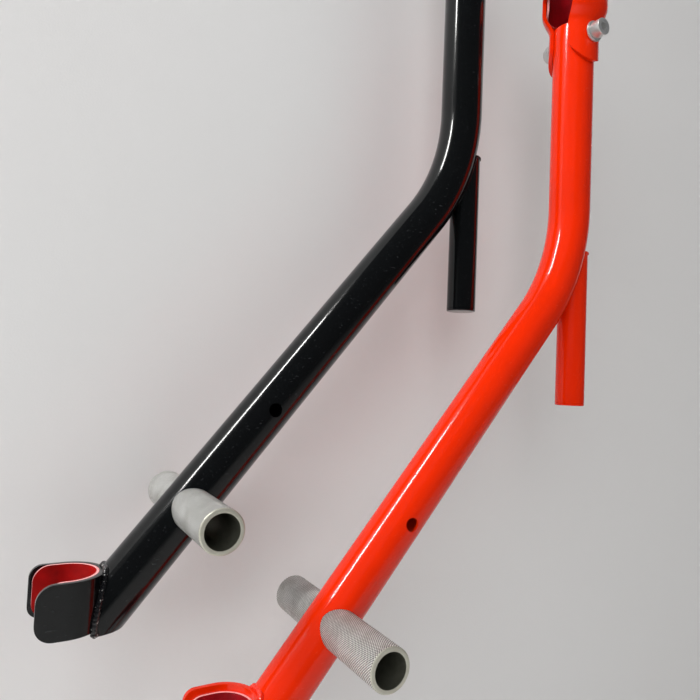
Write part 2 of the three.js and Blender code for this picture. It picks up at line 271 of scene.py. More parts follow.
PAINTS = {
    "black": gloss_paint("black_gloss", (0.003, 0.0035, 0.0038, 1), (0.2, 0.21, 0.22, 1)),
    "red": gloss_paint("red_gloss", (0.84, 0.024, 0.0005, 1), (0.9, 0.2, 0.12, 1)),
}

# ---- Arm tube --------------------------------------------------------------------------------
# One length of round steel tube, bent once on a former. Its top end is cut square and goes up
# between the socket's cheeks, and its lower end is coped to the back of the cradle and trimmed.

SHARP_EDGE = math.radians(38)
EASED_EDGE = math.radians(50)
SAME_POINT = 0.001 * MM


def settled(made):
    """Fixes the modifiers into the mesh, turns its faces out and shades it up to its edges."""
    depsgraph = bpy.context.evaluated_depsgraph_get()
    mesh = bpy.data.meshes.new_from_object(made.evaluated_get(depsgraph))
    made.modifiers.clear()
    made.data = mesh
    work = bmesh.new()
    work.from_mesh(mesh)
    bmesh.ops.remove_doubles(work, verts=work.verts, dist=SAME_POINT)
    loose = [point for point in work.verts if not point.link_faces]
    bmesh.ops.delete(work, geom=loose, context="VERTS")
    bmesh.ops.recalc_face_normals(work, faces=work.faces)
    work.to_mesh(mesh)
    work.free()
    mesh.shade_smooth()
    mesh.set_sharp_from_angle(angle=SHARP_EDGE)
    return made


def built(name, points, faces):
    mesh = bpy.data.meshes.new(name)
    mesh.from_pydata(points, [], faces)
    made = bpy.data.objects.new(name, mesh)
    bpy.context.collection.objects.link(made)
    return settled(made)


def sheet_wall(name, outer, inner, closed=True, kept=lambda row, column: True):
    """A wall of sheet metal: rows of points on its outer face, and the same on its inner face."""
    rows = len(outer)
    columns = len(outer[0])
    spans = columns if closed else columns - 1
    cells = [(row, column) for row in range(rows - 1) for column in range(spans) if kept(row, column)]
    used = set(cells)

    def at(side, row, column):
        return (side * rows + row) * columns + column % columns

    faces = []
    for row, column in cells:
        corners = [(row, column), (row, column + 1), (row + 1, column + 1), (row + 1, column)]
        faces += [[at(side, *corner) for corner in corners] for side in (0, 1)]
        beyond = [(row - 1, column), (row, column + 1), (row + 1, column), (row, column - 1)]
        for first, second, cell in zip(corners, corners[1:] + corners[:1], beyond):
            if (cell[0], cell[1] % columns if closed else cell[1]) not in used:
                faces.append((at(0, *first), at(0, *second), at(1, *second), at(1, *first)))
    points = [point for row in outer + inner for point in row]
    return built(name, points, faces)


def ease_edges(made, width, steps=3):
    bevel = made.modifiers.new("eased", "BEVEL")
    bevel.width = width
    bevel.segments = steps
    bevel.limit_method = "ANGLE"
    bevel.angle_limit = EASED_EDGE
    return settled(made)


def cut(made, *cutters):
    for cutter in cutters:
        drill = made.modifiers.new("cut", "BOOLEAN")
        drill.operation = "DIFFERENCE"
        drill.solver = "EXACT"
        drill.object = cutter
    settled(made)
    for cutter in cutters:
        bpy.data.objects.remove(cutter)
    return made


def turned(name, place, profile, axis="Z", sides=72, loop=False):
    """A turned piece. Its profile's points are (radius, distance along the axis)."""
    points = []
    for radius, along in profile:
        for side in range(sides):
            turn = 2 * math.pi * side / sides
            around = (radius * math.cos(turn), radius * math.sin(turn))
            local = (*around, along) if axis == "Z" else (along, *around)
            points.append(place + Vector(local))
    rings = len(profile)
    faces = []
    for ring in range(rings if loop else rings - 1):
        following = (ring + 1) % rings
        for side in range(sides):
            beside = (side + 1) % sides
            faces.append((
                ring * sides + side, ring * sides + beside,
                following * sides + beside, following * sides + side,
            ))
    return built(name, points, faces)


def cutter_rod(place, radius, half, axis="X", sides=72):
    profile = [(0, -half), (radius, -half), (radius, half), (0, half)]
    return turned("cutter", place, profile, axis, sides)


TUBE_SIDES = 96
BEND_ANGLE = math.radians(39.5)
BEND_RADIUS = 140 * MM
UPPER_RUN = 195.7 * MM
TUBE_WALL = 2 * MM
SIDE_HOLE_RADIUS = 4.5 * MM
SIDE_HOLE_AT = 241 * MM
PEG_AT = 318.5 * MM
CRADLE_REACH = 269.5 * MM
CRADLE_RADIUS = (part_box("black_cradle")[1].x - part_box("black_cradle")[0].x) / 2
END_TRIM = 2.5 * MM
TOUCH = 0.15 * MM
TUBE_EDGE = 0.5 * MM
HOLE_SIDES = 40
CROWN_CUTTER_HALF = 100 * MM
END_CUTTER_RADIUS = 80 * MM
END_CUTTER_HALF = 50 * MM

tube_low, tube_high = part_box("black_arm_tube")
tube_radius = (tube_high.x - tube_low.x) / 2
tube_top = tube_high.z - PLACES["black"].z
crossing = tube_top - UPPER_RUN
bend_run = BEND_RADIUS * math.tan(BEND_ANGLE / 2)
cradle_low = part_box("black_cradle")[0].z - PLACES["black"].z
cradle_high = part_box("black_cradle")[1].z - PLACES["black"].z


def on_lower_run(along, above=0.0, across=0.0):
    """A point of the tube's lower run, in its arm's own place."""
    y = -along * math.sin(BEND_ANGLE) - above * math.cos(BEND_ANGLE)
    z = crossing - along * math.cos(BEND_ANGLE) + above * math.sin(BEND_ANGLE)
    return Vector((across, y, z))


def tube_rings(radius, start, lower_length):
    """Rings of points round the tube's axis, from its top end to the end of its lower run."""
    stations = [(Vector((0, 0, start)), 0.0)]
    upper_steps = 12
    for step in range(1, upper_steps):
        z = start + (crossing + bend_run - start) * step / upper_steps
        stations.append((Vector((0, 0, z)), 0.0))
    bend_steps = 40
    for step in range(bend_steps + 1):
        turn = BEND_ANGLE * step / bend_steps
        y = -BEND_RADIUS * (1 - math.cos(turn))
        z = crossing + bend_run - BEND_RADIUS * math.sin(turn)
        stations.append((Vector((0, y, z)), turn))
    lower_steps = 24
    for step in range(1, lower_steps + 1):
        along = bend_run + (lower_length - bend_run) * step / lower_steps
        stations.append((on_lower_run(along), BEND_ANGLE))
    rings = []
    for centre, turn in stations:
        above = Vector((0, -math.cos(turn), math.sin(turn)))
        ring = []
        for side in range(TUBE_SIDES):
            angle = 2 * math.pi * side / TUBE_SIDES
            spoke = math.cos(angle) * Vector((1, 0, 0)) + math.sin(angle) * above
            ring.append(centre + radius * spoke)
        rings.append(ring)
    return rings


def shifted(rows, place):
    return [[point + place for point in row] for row in rows]


peg_low, peg_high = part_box("black_peg")
peg_radius = (peg_high.z - peg_low.z) / 2

for arm, place in PLACES.items():
    past_cradle = CRADLE_REACH / math.sin(BEND_ANGLE)
    outer = shifted(tube_rings(tube_radius, tube_top, past_cradle), place)
    inner = shifted(tube_rings(tube_radius - TUBE_WALL, tube_top, past_cradle), place)
    tube = ease_edges(sheet_wall(f"{arm}_tube", outer, inner), TUBE_EDGE)
    crown = place + Vector((0, -CRADLE_REACH, cradle_low))
    crown_rod = cutter_rod(crown, CRADLE_RADIUS + TOUCH, CROWN_CUTTER_HALF, "Z")
    below = place + Vector((0, -CRADLE_REACH, cradle_low - END_TRIM - END_CUTTER_HALF))
    end_cutter = cutter_rod(below, END_CUTTER_RADIUS, END_CUTTER_HALF, "Z", 8)
    peg_hole = cutter_rod(place + on_lower_run(PEG_AT), peg_radius + TOUCH, 2 * tube_radius)
    side_place = place + on_lower_run(SIDE_HOLE_AT)
    side_hole = cutter_rod(side_place, SIDE_HOLE_RADIUS, 2 * tube_radius, sides=HOLE_SIDES)
    cut(tube, crown_rod, end_cutter, peg_hole, side_hole)
    fit_arm(tube, arm, PAINTS[arm], f"{arm}_paint", "arm_tube")

# ---- Stub ------------------------------------------------------------------------------------
# A short plain pipe, coped at its top to the back of the bend and welded all round. A turned
# plug closes its lower end, painted with the rest. It hangs straight down, just behind the upper run.

STUB_SETBACK = 6 * MM
STUB_TOP = 14 * MM
STUB_WALL = 1.6 * MM
STUB_SIDES = 96
STUB_CAP = 2 * MM
PLUG_REACH = 11 * MM
PLUG_EASE = 0.8 * MM
COPE_SEARCH = 80 * MM
COPE_STEP = 0.2 * MM
SEAM_STEPS = 360
SEAM_INSET = 0.4 * MM
SEAM_BLUR = 5
STUB_BEAD = 1.1 * MM
STUB_RIPPLE = 1.6 * MM
RIPPLE_SWELL = 0.16
EASE_LIMIT = 0.45

stub_low, stub_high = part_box("black_stub")
stub_radius = (stub_high.x - stub_low.x) / 2
stub_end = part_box("black_stub_plug")[0].z - PLACES["black"].z


def off_tube(point):
    """How far a point, in its arm's own place, lies outside the tube's surface."""
    if point.z > crossing + bend_run:
        level = abs(point.y)
    else:
        centre_y = point.y + BEND_RADIUS
        centre_z = point.z - crossing - bend_run
        if math.atan2(-centre_z, centre_y) < BEND_ANGLE:
            level = abs(math.hypot(centre_y, centre_z) - BEND_RADIUS)
        else:
            down = crossing - point.z
            level = abs(point.y * math.cos(BEND_ANGLE) + down * math.sin(BEND_ANGLE))
    return math.hypot(point.x, level) - tube_radius


def stub_column(angle, radius):
    """The foot and the coped top of the stub's wall, at one angle round it."""
    x = radius * math.sin(angle)
    y = STUB_SETBACK + radius * math.cos(angle)
    top = crossing + STUB_TOP
    z = crossing - COPE_SEARCH
    while z < top and off_tube(Vector((x, y, z))) > -TOUCH:
        z += COPE_STEP
    return Vector((x, y, stub_end + STUB_CAP)), Vector((x, y, min(z, top)))


def weld_bead(name, path, radius, ripple_pitch):
    """A round bead along a closed path, with the ripples that the arc leaves."""
    sides = 14
    count = len(path)
    points = []
    run = 0.0
    for index, point in enumerate(path):
        ahead = path[(index + 1) % count]
        behind = path[index - 1]
        tangent = (ahead - behind).normalized()
        side_way = tangent.orthogonal().normalized()
        up_way = tangent.cross(side_way)
        if index:
            side_way = (last_side - tangent * last_side.dot(tangent)).normalized()
            up_way = tangent.cross(side_way)
        last_side = side_way
        run += (point - behind).length if index else 0.0
        swell = radius * (1 + RIPPLE_SWELL * abs(math.sin(math.pi * run / ripple_pitch)))
        for side in range(sides):
            angle = 2 * math.pi * side / sides
            points.append(point + swell * (math.cos(angle) * side_way + math.sin(angle) * up_way))
    faces = []
    for index in range(count - 1):
        for side in range(sides):
            beside = (side + 1) % sides
            faces.append((
                index * sides + side, index * sides + beside,
                (index + 1) * sides + beside, (index + 1) * sides + side,
            ))
    faces.append(tuple(range(sides)))
    faces.append(tuple(range((count - 1) * sides, count * sides)))
    return built(name, points, faces)


for arm, place in PLACES.items():
    angles = [2 * math.pi * side / STUB_SIDES for side in range(STUB_SIDES)]
    outer = list(zip(*[stub_column(angle, stub_radius) for angle in angles]))
    inner = list(zip(*[stub_column(angle, stub_radius - STUB_WALL) for angle in angles]))
    pipe = sheet_wall(f"{arm}_stub_pipe", shifted(outer, place), shifted(inner, place))
    fit_arm(pipe, arm, PAINTS[arm], f"{arm}_paint", "stub")
    fine = [2 * math.pi * step / SEAM_STEPS for step in range(SEAM_STEPS)]
    seam = [stub_column(angle, stub_radius - SEAM_INSET)[1] + place for angle in fine]
    smooth = []
    for index in range(SEAM_STEPS):
        near = [seam[(index + step) % SEAM_STEPS] for step in range(-SEAM_BLUR, SEAM_BLUR + 1)]
        smooth.append(sum(near, Vector()) / len(near))
    bead = weld_bead(f"{arm}_stub_weld", smooth + [smooth[0]], STUB_BEAD, STUB_RIPPLE)
    fit_arm(bead, arm, PAINTS[arm], f"{arm}_paint")


def eased(corners, ease, loop=False, steps=4):
    """The same profile with its corners rounded off."""
    count = len(corners)
    made = []
    for index, corner in enumerate(corners):
        here = Vector(corner)
        if not loop and index in (0, count - 1):
            made.append(tuple(here))
            continue
        back = Vector(corners[index - 1]) - here
        ahead = Vector(corners[(index + 1) % count]) - here
        reach = min(ease, back.length * EASE_LIMIT, ahead.length * EASE_LIMIT)
        start = here + back.normalized() * reach
        end = here + ahead.normalized() * reach
        for step in range(steps + 1):
            share = step / steps
            rest = 1 - share
            made.append(tuple(rest ** 2 * start + 2 * share * rest * here + share ** 2 * end))
    return made


for arm, place in PLACES.items():
    shank = stub_radius - STUB_WALL - TOUCH
    profile = eased([
        (0, stub_end), (stub_radius, stub_end), (stub_radius, stub_end + STUB_CAP),
        (shank, stub_end + STUB_CAP), (shank, stub_end + PLUG_REACH), (0, stub_end + PLUG_REACH),
    ], PLUG_EASE)
    cap = turned(f"{arm}_stub_cap", place + Vector((0, STUB_SETBACK, 0)), profile)
    fit_arm(cap, arm, PAINTS[arm], f"{arm}_paint", "stub_plug")

# ---- Peg -------------------------------------------------------------------------------------
# A thick-walled steel pipe pushed right through the lower run, longer on the room's side. Its
# outside is rolled with a fine diamond knurl and zinc plated, and its ends are faced in a lathe.

PEG_BORE_RADIUS = 9.7 * MM
KNURL_STARTS = 50
KNURL_LEAD = 40 * MM
TURNING_PITCH = 0.28 * MM
PEG_SIDES = 128
PEG_CHAMFER = 0.7 * MM
PEG_EASE = 0.35 * MM
NEAR_BORE = 0.1 * MM
END_FACING = 0.4
FACE_FINISH = 1
BORE_FINISH = 2


def knurled_steel(name, centre):
    finish = Finish(name)
    split = finish.tree.nodes.new("ShaderNodeSeparateXYZ")
    finish.feed(split, {0: finish.place})
    x, y, z = [Wire(finish, socket) for socket in split.outputs]
    angle = x.math("ARCTAN2", z - centre.z, y - centre.y)
    waves = []
    wobble = finish.noise(60.0, 2.0) * 1.6
    for way in (1, -1):
        twist = way * math.pi * KNURL_STARTS / (2 * KNURL_LEAD)
        phase = angle * (KNURL_STARTS / 2) + x * twist + wobble
        waves.append(x.math("ABSOLUTE", x.math("SINE", phase)))
    diamond = x.math("MULTIPLY", *waves)
    cloud = finish.noise(55.0, 4.0, 0.6)
    grit = finish.noise(2200.0, 2.0)
    # The knurl's grooves are painted nearly black and its crests nearly white: painted shade in the grooves
    # and a painted highlight on the crests, over real wear that polishes the crests.
    crest_wear_and_painted_light = finish.step(diamond, 0.1, 0.6)
    steel = finish.blend(crest_wear_and_painted_light, (0.1, 0.1, 0.095, 1), (0.97, 0.97, 0.94, 1))
    dull_knurl_light_and_shade = finish.blend(crest_wear_and_painted_light, (0.07, 0.07, 0.06, 1), (0.7, 0.7, 0.66, 1))
    finish.feed(finish.surface, {
        "Base Color": finish.blend(finish.step(cloud, 0.42, 0.68), steel, dull_knurl_light_and_shade),
        "Roughness": 0.4 + 0.2 * grit - 0.1 * crest_wear_and_painted_light,
        "Metallic": 0.55,
        "Normal": finish.relief(diamond + 0.12 * grit, 0.5 * MM, 1.0),
    })
    return finish.material


def faced_steel(name, centre):
    finish = Finish(name)
    split = finish.tree.nodes.new("ShaderNodeSeparateXYZ")
    finish.feed(split, {0: finish.place})
    x, y, z = [Wire(finish, socket) for socket in split.outputs]
    rise = z - centre.z
    reach = y - centre.y
    radius = x.math("SQRT", rise * rise + reach * reach)
    rings = x.math("SINE", radius * (2 * math.pi / TURNING_PITCH))
    cloud = finish.noise(160.0, 3.0)
    finish.feed(finish.surface, {
        "Base Color": finish.blend(cloud, (0.7, 0.69, 0.59, 1), (0.5, 0.48, 0.4, 1)),
        "Roughness": 0.36 + 0.14 * cloud,
        "Metallic": 0.6,
        "Normal": finish.relief(rings, 0.02 * MM, 0.5),
    })
    return finish.material


def bore_steel(name):
    finish = Finish(name)
    scale = finish.noise(240.0, 4.0, 0.6)
    finish.feed(finish.surface, {
        "Base Color": finish.blend(scale, (0.16, 0.16, 0.12, 1), (0.32, 0.32, 0.26, 1)),
        "Roughness": 0.34 + 0.2 * scale,
        "Metallic": 0.8,
        "Normal": finish.relief(scale, 0.08 * MM, 0.4),
    })
    return finish.material


bore_finish = bore_steel("peg_bore")
for arm, place in PLACES.items():
    low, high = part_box(f"{arm}_peg")
    centre = (low + high) / 2
    axis_point = Vector((0, centre.y, centre.z))
    rim = peg_radius - PEG_CHAMFER
    corners = [
        (PEG_BORE_RADIUS, low.x), (rim, low.x), (peg_radius, low.x + PEG_CHAMFER),
        (peg_radius, high.x - PEG_CHAMFER), (rim, high.x), (PEG_BORE_RADIUS, high.x),
    ]
    profile = eased(corners, PEG_EASE, True)
    peg = turned(f"{arm}_knurled_peg", axis_point, profile, "X", PEG_SIDES, True)
    fit_arm(peg, arm, knurled_steel(f"{arm}_peg_knurl", centre), "knurled_steel", "peg")
    peg.data.materials.append(faced_steel(f"{arm}_peg_face", centre))
    peg.data.materials.append(bore_finish)
    for face in peg.data.polygons:
        out = math.hypot(face.center.y - centre.y, face.center.z - centre.z)
        if out < PEG_BORE_RADIUS + NEAR_BORE:
            face.material_index = BORE_FINISH
        elif abs(face.normal.x) > END_FACING:
            face.material_index = FACE_FINISH

# ---- Cradle ----------------------------------------------------------------------------------
# A strip of flat steel bent into a U around an upright axis, with its corners rounded. One flank
# was cut shorter and rounder. The tube's coped end is welded to its crown, and painted over.

STRAP = 3 * MM
FLANKS = {1: (15.6 * MM, 9.5 * MM), -1: (17.5 * MM, 7 * MM)}
STRAP_EDGE = 0.5 * MM
CRADLE_SEAM_STEPS = 240
CRADLE_BEAD = 1.7 * MM
CRADLE_RIPPLE = 2.3 * MM
BEAD_OUT = 0.6 * MM
BEAD_FOOT = 1.2 * MM
BEAD_HEAD = 0.8 * MM


def channel_point(along, radius, z):
    """A point of a U-shaped sheet: its distance along the sheet's face from the crown's middle."""
    quarter = math.pi / 2 * CRADLE_RADIUS
    if abs(along) < quarter:
        turn = along / CRADLE_RADIUS
        return Vector((radius * math.sin(turn), radius * math.cos(turn) - CRADLE_REACH, z))
    return Vector((math.copysign(radius, along), -CRADLE_REACH - (abs(along) - quarter), z))


def channel(name, place, outside, thickness, low, high, inset=0.0, corner_more=0.0):
    """A U-shaped sheet. Its rows follow the rounded corners of its two flanks."""

    def half_length(side, z):
        length, corner = FLANKS[side]
        corner += corner_more
        into_corner = max(corner - min(high - z, z - low), 0.0)
        setback = corner - math.sqrt(max(corner ** 2 - into_corner ** 2, 0.0))
        return math.pi / 2 * CRADLE_RADIUS + length - inset - setback

    deepest = max(corner for length, corner in FLANKS.values()) + corner_more
    rows = 12
    drops = [deepest * (1 - math.cos(math.pi / 2 * row / rows)) for row in range(rows + 1)]
    heights = [high - drop for drop in drops] + [(low + high) / 2]
    heights += [low + drop for drop in reversed(drops)]
    steps = 45
    outer = []
    inner = []
    for z in heights:
        ends = {side: half_length(side, z) for side in FLANKS}
        spread = [-ends[-1] * (1 - step / steps) for step in range(steps)]
        spread += [ends[1] * step / steps for step in range(steps + 1)]
        outer.append([channel_point(along, outside, z) for along in spread])
        inner.append([channel_point(along, outside - thickness, z) for along in spread])
    made = sheet_wall(name, shifted(outer, place), shifted(inner, place), closed=False)
    return ease_edges(made, min(STRAP_EDGE, thickness / 3))


def weld_paint(name, colour, speck_colour, amount):
    finish = Finish(name)
    lumps = finish.noise(900.0, 3.0, 0.6)
    # Lighter specks are scattered over the bead, more of them on the black weld.
    bright = finish.step(finish.noise(430.0, 3.0, 0.7), 0.7 - amount, 0.74 - amount)
    finish.feed(finish.surface, {
        "Base Color": finish.blend(bright, colour, speck_colour),
        "Roughness": 0.2 + 0.15 * lumps,
        "Normal": finish.relief(lumps, 0.3 * MM, 0.6),
        "Coat Weight": 0.5,
        "Coat Roughness": 0.05,
    })
    return finish.material


WELD_PAINTS = {
    "black": weld_paint("black_weld", (0.004, 0.004, 0.005, 1), (0.6, 0.6, 0.58, 1), 0.08),
    "red": weld_paint("red_weld", (0.82, 0.018, 0.001, 1), (0.95, 0.25, 0.15, 1), 0.0),
}

for arm, place in PLACES.items():
    strap = channel(f"{arm}_cradle_strap", place, CRADLE_RADIUS, STRAP, cradle_low, cradle_high)
    fit_arm(strap, arm, PAINTS[arm], f"{arm}_paint", "cradle")
    seam = []
    for step in range(CRADLE_SEAM_STEPS):
        turn = 2 * math.pi * step / CRADLE_SEAM_STEPS
        across = tube_radius * math.cos(turn)
        above = tube_radius * math.sin(turn)
        y = math.sqrt((CRADLE_RADIUS + BEAD_OUT) ** 2 - across ** 2) - CRADLE_REACH
        along = (-y - above * math.cos(BEND_ANGLE)) / math.sin(BEND_ANGLE)
        point = on_lower_run(along, above, across)
        point.z = max(point.z, cradle_low - END_TRIM + BEAD_FOOT)
        point.z = min(point.z, cradle_high + BEAD_HEAD)
        seam.append(place + point)
    bead = weld_bead(f"{arm}_cradle_weld", seam + [seam[0]], CRADLE_BEAD, CRADLE_RIPPLE)
    fit_arm(bead, arm, WELD_PAINTS[arm], f"{arm}_paint")

# ---- Cradle lining ---------------------------------------------------------------------------
# A strip of red rubber glued inside the cradle, so that a frame isn't scratched. Its edges are
# painted paler than its faces, a painted highlight along every edge.

LINER = 1.5 * MM
LINER_INSET = 2 * MM
CORNER_MORE = 2 * MM
FACE_ON = 0.8
EDGE_HIGHLIGHT_INDEX = 1


def lining_rubber(name, colour, deep):
    finish = Finish(name)
    cloud = finish.noise(70.0, 3.0)
    nap = finish.noise(1500.0, 3.0, 0.6)
    finish.feed(finish.surface, {
        "Base Color": finish.blend(finish.step(cloud, 0.35, 0.7), colour, deep),
        "Roughness": 0.42 + 0.25 * nap,
        "Normal": finish.relief(nap, 0.12 * MM, 0.5),
        "Specular IOR Level": 0.2,
    })
    return finish.material


def painted_highlight_rubber(name, colour):
    finish = Finish(name)
    torn_grain_and_highlight = finish.noise(1100.0, 4.0, 0.7)
    # The paler colour is a painted highlight for the edges, patchy where the grain noise is high.
    pale = [min(1.0, 1.5 * part + 0.1) for part in colour[:3]] + [1]
    finish.feed(finish.surface, {
        "Base Color": finish.blend(finish.step(torn_grain_and_highlight, 0.3, 0.6), colour, pale),
        "Roughness": 0.6 + 0.2 * torn_grain_and_highlight,
        "Normal": finish.relief(torn_grain_and_highlight, 0.2 * MM, 0.6),
    })
    return finish.material


LININGS = {
    "black": lining_rubber("bright_red_rubber", (0.37, 0.001, 0.001, 1), (0.14, 0.001, 0.001, 1)),
    "red": lining_rubber("crimson_rubber", (0.34, 0.001, 0.006, 1), (0.17, 0.001, 0.004, 1)),
}
LINING_SLOTS = {"black": "bright_red_liner", "red": "crimson_liner"}
lining_edge_highlight = painted_highlight_rubber("rubber_edge_painted_highlight", (0.72, 0.26, 0.26, 1))

for arm, place in PLACES.items():
    outside = CRADLE_RADIUS - STRAP - TOUCH
    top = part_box(f"{arm}_cradle_liner")[1].z - place.z
    lining = channel(
        f"{arm}_cradle_lining", place, outside, LINER, cradle_low + TOUCH, top,
        LINER_INSET, CORNER_MORE,
    )
    fit_arm(lining, arm, LININGS[arm], LINING_SLOTS[arm], "cradle_liner")
    # The lining's edge faces get the paler rubber: a painted highlight.
    lining.data.materials.append(lining_edge_highlight)
    crown = place + Vector((0, -CRADLE_REACH, 0))
    for face in lining.data.polygons:
        spot = face.center - crown
        radial = Vector((spot.x, max(spot.y, 0.0), 0)).normalized()
        if abs(face.normal.dot(radial)) < FACE_ON:
            face.material_index = EDGE_HIGHLIGHT_INDEX

# ---- Socket ----------------------------------------------------------------------------------
# Steel pressed round in two cheeks that hug the tube, swell out above its end and close into a
# ring. The bolt clamps the cheeks to the tube, and the ring turns on a post of the wall frame.

SOCKET_SHEET = 3 * MM
HUG_GAP = 0.3 * MM
RING_HEIGHT = 18 * MM
SHOULDER_LOW = -3 * MM
SHOULDER_HIGH = 15 * MM
CHEEK_HALF = 17 * MM
CHEEK_HALF_TOP = 19.7 * MM
BOLT_BELOW_END = 9.2 * MM
CHEEK_BELOW_BOLT = 22.5 * MM
CHEEK_TIP_HALF = 0.8 * MM
SOCKET_EDGE = 0.6 * MM
BOLT_HOLE_RADIUS = 4.4 * MM
MOUTH_STEP = 1 * MM
ROUND_ROWS = 14

socket_low, socket_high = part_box("black_socket")
mouth_radius = (socket_high.x - socket_low.x) / 2
bolt_z = tube_top - BOLT_BELOW_END
cheek_radius = tube_radius + HUG_GAP + SOCKET_SHEET


def swell(z, low_value, high_value):
    """A value that changes smoothly over the shoulder, from below it to above it."""
    share = min(max((z - tube_top - SHOULDER_LOW) / (SHOULDER_HIGH - SHOULDER_LOW), 0.0), 1.0)
    return low_value + (high_value - low_value) * share * share * (3 - 2 * share)


def round_wall(name, place, radius_at, half_at, heights, ring_from, thickness):
    """A round sheet whose two cheeks hang from a closed ring. Its columns follow their edges."""
    cheek_columns = 44
    gap_columns = 16
    outer = []
    inner = []
    for z in heights:
        radius = radius_at(z)
        reach = math.asin(min(half_at(z) / radius, 1.0))
        turns = [reach * (2 * step / cheek_columns - 1) for step in range(cheek_columns)]
        gap = math.pi - 2 * reach
        turns += [reach + gap * step / gap_columns for step in range(gap_columns)]
        turns += [turn + math.pi for turn in turns]
        for rows, out in ((outer, radius), (inner, radius - thickness)):
            row = [(out * math.cos(turn), out * math.sin(turn), z) for turn in turns]
            rows.append([place + Vector(point) for point in row])
    half_turn = cheek_columns + gap_columns

    def kept(row, column):
        return heights[row + 1] >= ring_from - TOUCH or column % half_turn < cheek_columns

    return sheet_wall(name, outer, inner, True, kept)


def socket_radius(z):
    return swell(z, cheek_radius, mouth_radius)


cheek_round = bolt_z - CHEEK_BELOW_BOLT + CHEEK_HALF


def socket_half(z):
    if z < cheek_round:
        return math.sqrt(max(CHEEK_HALF ** 2 - (cheek_round - z) ** 2, CHEEK_TIP_HALF ** 2))
    return swell(z, CHEEK_HALF, CHEEK_HALF_TOP)


def between(start, end, steps):
    return [start + (end - start) * step / steps for step in range(steps)]


socket_heights = [0.0, -MOUTH_STEP] + between(-2 * MOUTH_STEP, -RING_HEIGHT, 6)
socket_heights += between(-RING_HEIGHT, tube_top + SHOULDER_HIGH, 5)
socket_heights += between(tube_top + SHOULDER_HIGH, tube_top + SHOULDER_LOW, ROUND_ROWS)
socket_heights += between(tube_top + SHOULDER_LOW, cheek_round, 6)
for row in range(ROUND_ROWS + 1):
    socket_heights.append(cheek_round - CHEEK_HALF * math.sin(math.pi / 2 * row / ROUND_ROWS))

for arm, place in PLACES.items():
    socket = round_wall(
        f"{arm}_swivel_socket", place, socket_radius, socket_half, socket_heights,
        -RING_HEIGHT, SOCKET_SHEET,
    )
    ease_edges(socket, SOCKET_EDGE)
    bolt_place = place + Vector((0, 0, bolt_z))
    cut(socket, cutter_rod(bolt_place, BOLT_HOLE_RADIUS, 2 * mouth_radius, sides=HOLE_SIDES))
    fit_arm(socket, arm, PAINTS[arm], f"{arm}_paint", "socket")

# ---- Socket bush -----------------------------------------------------------------------------
# A sleeve of the same rubber as the cradle's lining stands still on the post, and the socket
# turns round it. It is cut back a little from all the socket's edges, with rounded corners.

BUSH_WALL = 1.6 * MM
BUSH_INSET = 1.2 * MM
BUSH_CORNER = 5 * MM
BUSH_EDGE = 0.3 * MM
CORNER_ROWS = 10
bush_low, bush_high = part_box("black_socket_bush")
bush_radius = (bush_high.x - bush_low.x) / 2
bush_foot = bush_low.z - PLACES["black"].z


def bush_half(z):
    half = CHEEK_HALF_TOP - BUSH_INSET
    into_corner = bush_foot + BUSH_CORNER - z
    if into_corner > 0:
        half -= BUSH_CORNER - math.sqrt(max(BUSH_CORNER ** 2 - into_corner ** 2, 0.0))
    return half


bush_ring = -RING_HEIGHT + BUSH_INSET
bush_heights = between(0.0, bush_ring, 6) + between(bush_ring, bush_foot + BUSH_CORNER, 5)
for row in range(CORNER_ROWS + 1):
    bush_heights.append(bush_foot + BUSH_CORNER * (1 - math.sin(math.pi / 2 * row / CORNER_ROWS)))

for arm, place in PLACES.items():
    bush = round_wall(
        f"{arm}_bush_sleeve", place, lambda z: bush_radius, bush_half, bush_heights,
        bush_ring, BUSH_WALL,
    )
    ease_edges(bush, BUSH_EDGE, 2)
    bush.data.materials.append(LININGS[arm])
    # Its edge faces get the paler rubber too: a painted highlight.
    bush.data.materials.append(lining_edge_highlight)
    for face in bush.data.polygons:
        spot = face.center - place
        if abs(face.normal.dot(Vector((spot.x, spot.y, 0)).normalized())) < FACE_ON:
            face.material_index = EDGE_HIGHLIGHT_INDEX
    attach(bush, "bushes")
    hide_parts(f"{arm}_socket_bush")

# ---- Screw, washers and lock nut -------------------------------------------------------------
# An M8 socket-head screw goes through both cheeks and the tube, with a washer under its head
# and under its nylon-ring lock nut, and a sleeve inside keeps the tube round. All the steel is zinc plated.

SCREW_RADIUS = 4 * MM
HEAD_RADIUS = 6.5 * MM
HEX_KEY = 6 * MM
HEX_DEPTH = 4 * MM
WASHER_RADIUS = 8 * MM
THREAD_PITCH = 1.25 * MM
THREAD_TURNS = 12
GROOVE = ((0.15 * MM, 0.0), (0.62 * MM, 0.55 * MM), (1.1 * MM, 0.0))
TIP_CHAMFER = 0.8 * MM
TIP_EASE = 0.1 * MM
HEAD_EASE = 0.7 * MM
NECK = 1 * MM
RECESS_OVERRUN = 1 * MM
FASTENER_SIDES = 64
WASHER_HOLE_RADIUS = SCREW_RADIUS + 0.4 * MM
NUT_HEX_FROM_END = 2 * MM
NUT_EDGE = 0.5 * MM
NUT_BORE_RADIUS = SCREW_RADIUS + 0.1 * MM
NUT_CUTTER_HALF = 20 * MM
NUT_BORE_SIDES = 48
COLLAR_RADII = (5.3 * MM, 5.8 * MM)
COLLAR_LENGTH = 2.4 * MM
COLLAR_EASE = 0.25 * MM
NYLON_RADII = (SCREW_RADIUS + 0.05 * MM, 5.25 * MM)
RING_EASE = 0.3 * MM


